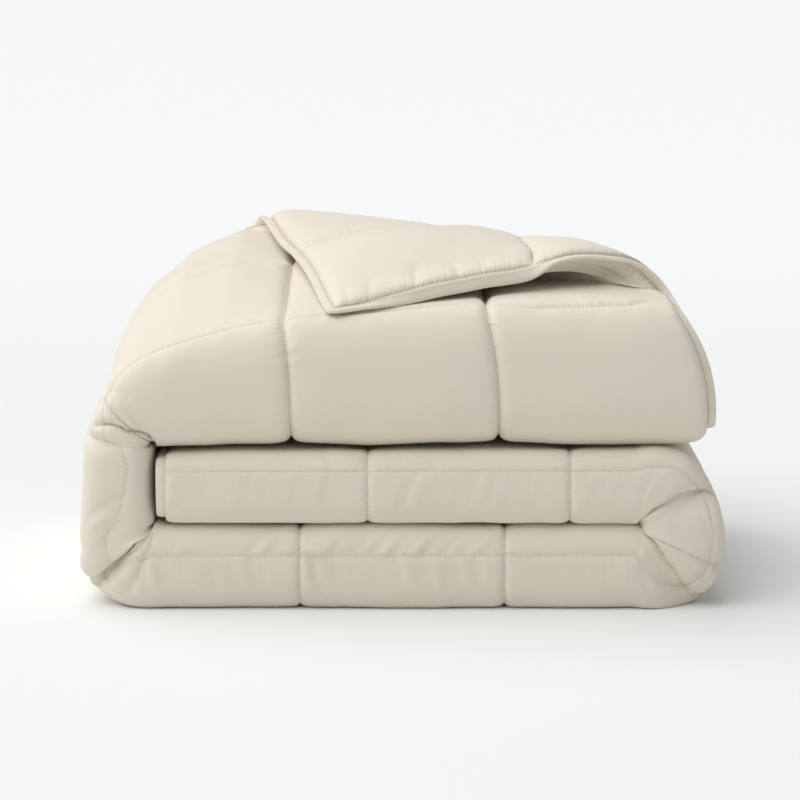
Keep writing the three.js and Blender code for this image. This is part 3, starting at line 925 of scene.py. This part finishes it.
def tape_points(s, t, out_s, out_t, distance, w):
    """Points of the tape, in metres in the frame: out from the border, and w off the cloth's middle."""
    step = 5.0
    edge = middle(s, t)
    normal = normal_at(s, t)
    away = (middle(s + out_s * step, t + out_t * step) - edge) / step
    away -= normal * (away * normal).sum(-1, keepdims=True)
    hang = TAPE_HANG * (s > LENGTH - 1) * smoothstep(t, 5, 90) * (1 - smoothstep(t, 185, 225))
    cos, sin = np.cos(hang)[:, None], np.sin(hang)[:, None]
    wider = distance * (1 + 0.5 * np.sin(hang))
    outwards = (away * cos + normal * sin) * wider[:, None]
    return to_frame(edge + outwards + (normal * cos - away * sin) * w[:, None])


class DUVET_OT_edge_tape(bpy.types.Operator):
    """Make the tape that binds the edge"""

    bl_idname = "duvet.edge_tape"
    bl_label = "Edge tape"

    def execute(self, context):
        looks = context.scene.duvet_looks
        path = border_path(TAPE_STEP)
        sides = 16
        bm = bmesh.new()
        bmesh.ops.create_grid(bm, x_segments=len(path), y_segments=sides, size=0.5)
        lattice = np.array([(*vert.co,) for vert in bm.verts])
        index = np.round((lattice[:, 0] + 0.5) * len(path)).astype(int)
        round_it = np.round((lattice[:, 1] + 0.5) * sides) / sides * 2 * math.pi
        s, t, out_s, out_t = path[index % len(path)].T
        flat = np.clip(np.cos(round_it) * 1.35, -1, 1)
        distance = (TAPE_WIDTH - TAPE_LAP) / 2 + flat * (TAPE_WIDTH + TAPE_LAP) / 2
        w = np.sin(round_it) * TAPE_HALF * (1 - 0.12 * (1 + flat))
        place = (index % len(path)) * TAPE_STEP
        ruffle = 0.35 * noise(place, 0 * round_it, (9, 1), 61) * np.abs(np.sin(round_it))
        points = tape_points(s, t, out_s, out_t, distance, w + np.sign(w) * ruffle)
        for vert, point in zip(bm.verts, points):
            vert.co = point
        layer = bm.loops.layers.uv.new("cloth")
        for face in bm.faces:
            for loop in face.loops:
                place = loop.vert.index
                loop[layer].uv = (index[place] * TAPE_STEP * MM, round_it[place] * TAPE_HALF * MM)
        bmesh.ops.remove_doubles(bm, verts=bm.verts, dist=1e-6)
        bmesh.ops.reverse_faces(bm, faces=bm.faces)
        tape = finished(bm, "edge_tape", [cotton("woven_cotton_tape", looks.tape)])
        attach(tape, "root")
        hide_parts("binding")
        return {"FINISHED"}


def stitch_row(start, end, pitch, side):
    """Places of the stitches of one straight seam: s, t, the way it runs, and the face."""
    length = math.hypot(end[0] - start[0], end[1] - start[1])
    way = ((end[0] - start[0]) / length, (end[1] - start[1]) / length)
    places = np.arange(pitch / 2, length, pitch)
    return [(start[0] + way[0] * place, start[1] + way[1] * place, *way, side) for place in places]


def unit(vectors):
    return vectors / np.linalg.norm(vectors, axis=-1, keepdims=True)


def stitches(name, rows, size, place_points, material):
    """One piece of short stitches: a straight rounded bar for each row, laid on by place_points."""
    long, thick = size
    bm = bmesh.new()
    bmesh.ops.create_uvsphere(bm, u_segments=8, v_segments=4, radius=0.5)
    bmesh.ops.rotate(bm, verts=bm.verts, matrix=Matrix.Rotation(math.pi / 2, 3, "Y"))
    count = 1
    while count < len(rows):
        made = bmesh.ops.duplicate(bm, geom=bm.verts[:] + bm.edges[:] + bm.faces[:])["geom"]
        moved = [item for item in made if isinstance(item, bmesh.types.BMVert)]
        bmesh.ops.translate(bm, verts=moved, vec=(2 * count, 0, 0))
        count *= 2
    spare = [vert for vert in bm.verts if vert.co.x > 2 * len(rows) - 1]
    bmesh.ops.delete(bm, geom=spare, context="VERTS")
    places = np.array(rows)
    centre = place_points(places, 0, 0)
    along = unit(place_points(places, 1, 0) - place_points(places, -1, 0))
    out = place_points(places, 0, 1) - centre
    out = unit(out - along * (out * along).sum(-1, keepdims=True))
    across = np.cross(out, along)
    for vert in bm.verts:
        k = round(vert.co.x / 2)
        vert.co = (
            centre[k]
            + along[k] * ((vert.co.x - 2 * k) * long)
            + across[k] * (vert.co.y * thick)
            + out[k] * (vert.co.z * thick)
        )
    thread = finished(bm, name, [material])
    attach(thread, "root")
    return thread


class DUVET_OT_quilting(bpy.types.Operator):
    """Make the quilting stitches of the faces that show"""

    bl_idname = "duvet.quilting"
    bl_label = "Quilting stitches"

    def execute(self, context):
        looks = context.scene.duvet_looks
        rows = []
        for s0 in range(BOX, LENGTH, BOX):
            rows += stitch_row((s0, 12), (s0, FRONT_FOLD_T + 90), STITCH_PITCH, 1)
        rows += stitch_row((0, FRONT_FOLD_T), (LENGTH, FRONT_FOLD_T), STITCH_PITCH, 1)
        rows += stitch_row((TOP_START - 80, BOX), (LENGTH - 12, BOX), STITCH_PITCH, 1)
        rows += stitch_row((1600, BOX), (LENGTH - 12, BOX), STITCH_PITCH, -1)
        rows += stitch_row((1800, 12), (1800, FRONT_FOLD_T), STITCH_PITCH, -1)
        rows = [row for row in rows if shown_stitch(*row)]

        def place(row, along, out):
            s, t, way_s, way_t, side = row.T
            return to_frame(cloth_points(s + along * way_s, t + along * way_t, side, out))

        size = (looks.stitch, looks.thread)
        cotton_thread = sewing_thread("cotton_quilting_thread", looks.thread_colour)
        thread = stitches("quilting_thread", rows, size, place, cotton_thread)
        return {"FINISHED"}


def shown_stitch(s, t, _way_s, _way_t, side):
    """Whether a stitch lies on a face that shows."""
    s, t = np.array([float(s)]), np.array([float(t)])
    return bool(face_detail(s, t, side)[0] >= 2)


class DUVET_OT_tape_stitches(bpy.types.Operator):
    """Make the stitches along the edge tape where it shows"""

    bl_idname = "duvet.tape_stitches"
    bl_label = "Edge tape stitches"

    def execute(self, context):
        looks = context.scene.duvet_looks
        rows = []
        for side in (1, -1):
            rows += stitch_row((LENGTH, 4), (LENGTH, 600), STITCH_PITCH, side)
            rows += stitch_row((0, 0), (LENGTH - 4, 0), STITCH_PITCH, side)

        def place(row, along, out):
            s, t, way_s, way_t, side = row.T
            lift = side * (TAPE_HALF + 0.1 + out)
            s = s + along * way_s
            t = t + along * way_t
            return tape_points(s, t, way_t, -way_s, np.full(s.shape, TAPE_SEAM), lift)

        size = (looks.stitch, looks.thread)
        cotton_thread = sewing_thread("cotton_tape_thread", looks.thread_colour)
        thread = stitches("tape_thread", rows, size, place, cotton_thread)
        return {"FINISHED"}


class DUVET_OT_stage(bpy.types.Operator):
    """Make the pale floor, the soft light and the camera"""

    bl_idname = "duvet.stage"
    bl_label = "Stage"

    def execute(self, context):
        scene = context.scene
        # Painted shade: the floor's colour runs from #EDEEED near the duvet to #FAFBFB far behind it,
        # standing in for the lamps' light falling off with distance
        material, tree = new_material("studio_floor_with_painted_falloff_shade")
        place = add_node(tree, "ShaderNodeTexCoord").outputs["Object"]
        depth = add_node(tree, "ShaderNodeSeparateXYZ", [("Vector", place)]).outputs["Y"]
        far = add_node(
            tree,
            "ShaderNodeMapRange",
            [("Value", depth)],
            [("From Min", -0.6), ("From Max", 2.5)],
        )
        painted_falloff_shade = add_node(
            tree,
            "ShaderNodeMix",
            [(0, far.outputs["Result"])],
            [(6, linear("#EDEEED")), (7, linear("#FAFBFB"))],
            data_type="RGBA",
        )
        shader = add_node(
            tree,
            "ShaderNodeBsdfPrincipled",
            [("Base Color", painted_falloff_shade.outputs[2])],
            [("Roughness", 0.9), ("Specular IOR Level", 0.1)],
        )
        add_node(tree, "ShaderNodeOutputMaterial", [("Surface", shader.outputs["BSDF"])])
        bm = bmesh.new()
        bmesh.ops.create_grid(bm, x_segments=1, y_segments=1, size=60)
        floor = finished(bm, "floor", [material])
        scene.world = bpy.data.worlds.new("studio")
        scene.world.use_nodes = True
        background = scene.world.node_tree.nodes["Background"]
        background.inputs["Color"].default_value = linear("#FBFCFF")
        background.inputs["Strength"].default_value = 0.4
        sun = bpy.data.lights.new("key", "SUN")
        sun.energy = 2.25
        sun.angle = math.radians(80)
        soft_box = bpy.data.lights.new("soft_box", "AREA")
        soft_box.energy = 2.3
        soft_box.size = 0.9
        for light, place in ((sun, (-0.66, 0.0, 1.0)), (soft_box, (-0.5, -0.85, 1.3))):
            lamp = bpy.data.objects.new(light.name, light)
            lamp.location = place
            lamp.rotation_euler = Vector(place).to_track_quat("Z", "Y").to_euler()
            scene.collection.objects.link(lamp)
        target = Vector((-CENTRE[0], FRONT - CENTRE[1], 215)) * MM
        elevation = math.radians(10.5)
        camera = bpy.data.objects.new("camera", bpy.data.cameras.new("camera"))
        camera.data.lens = 114.2
        camera.location = target + 2.5 * Vector((0, -math.cos(elevation), math.sin(elevation)))
        camera.rotation_euler = (math.pi / 2 - elevation, 0, 0)
        scene.collection.objects.link(camera)
        scene.camera = camera
        scene.view_settings.view_transform = "Standard"
        return {"FINISHED"}


class DUVET_PT_panel(bpy.types.Panel):
    """Lists what can be built"""

    bl_label = "Folded duvet"
    bl_idname = "DUVET_PT_panel"
    bl_space_type = "VIEW_3D"
    bl_region_type = "UI"
    bl_category = "Duvet"

    def draw(self, context):
        for name in ("stitch", "thread", "cover", "tape", "thread_colour"):
            self.layout.prop(context.scene.duvet_looks, name)
        for operator in OPERATORS:
            self.layout.operator(operator.bl_idname)


OPERATORS = (
    DUVET_OT_cover,
    DUVET_OT_edge_tape,
    DUVET_OT_quilting,
    DUVET_OT_tape_stitches,
    DUVET_OT_stage,
)
CLASSES = (DuvetLooks, *OPERATORS, DUVET_PT_panel)


def register():
    for cls in CLASSES:
        bpy.utils.register_class(cls)
    bpy.types.Scene.duvet_looks = bpy.props.PointerProperty(type=DuvetLooks)


def unregister():
    del bpy.types.Scene.duvet_looks
    for cls in reversed(CLASSES):
        bpy.utils.unregister_class(cls)


def main():
    register()
    bpy.ops.duvet.cover()
    bpy.ops.duvet.edge_tape()
    bpy.ops.duvet.quilting()
    bpy.ops.duvet.tape_stitches()
    bpy.ops.duvet.stage()


if __name__ == "__main__":
    main()
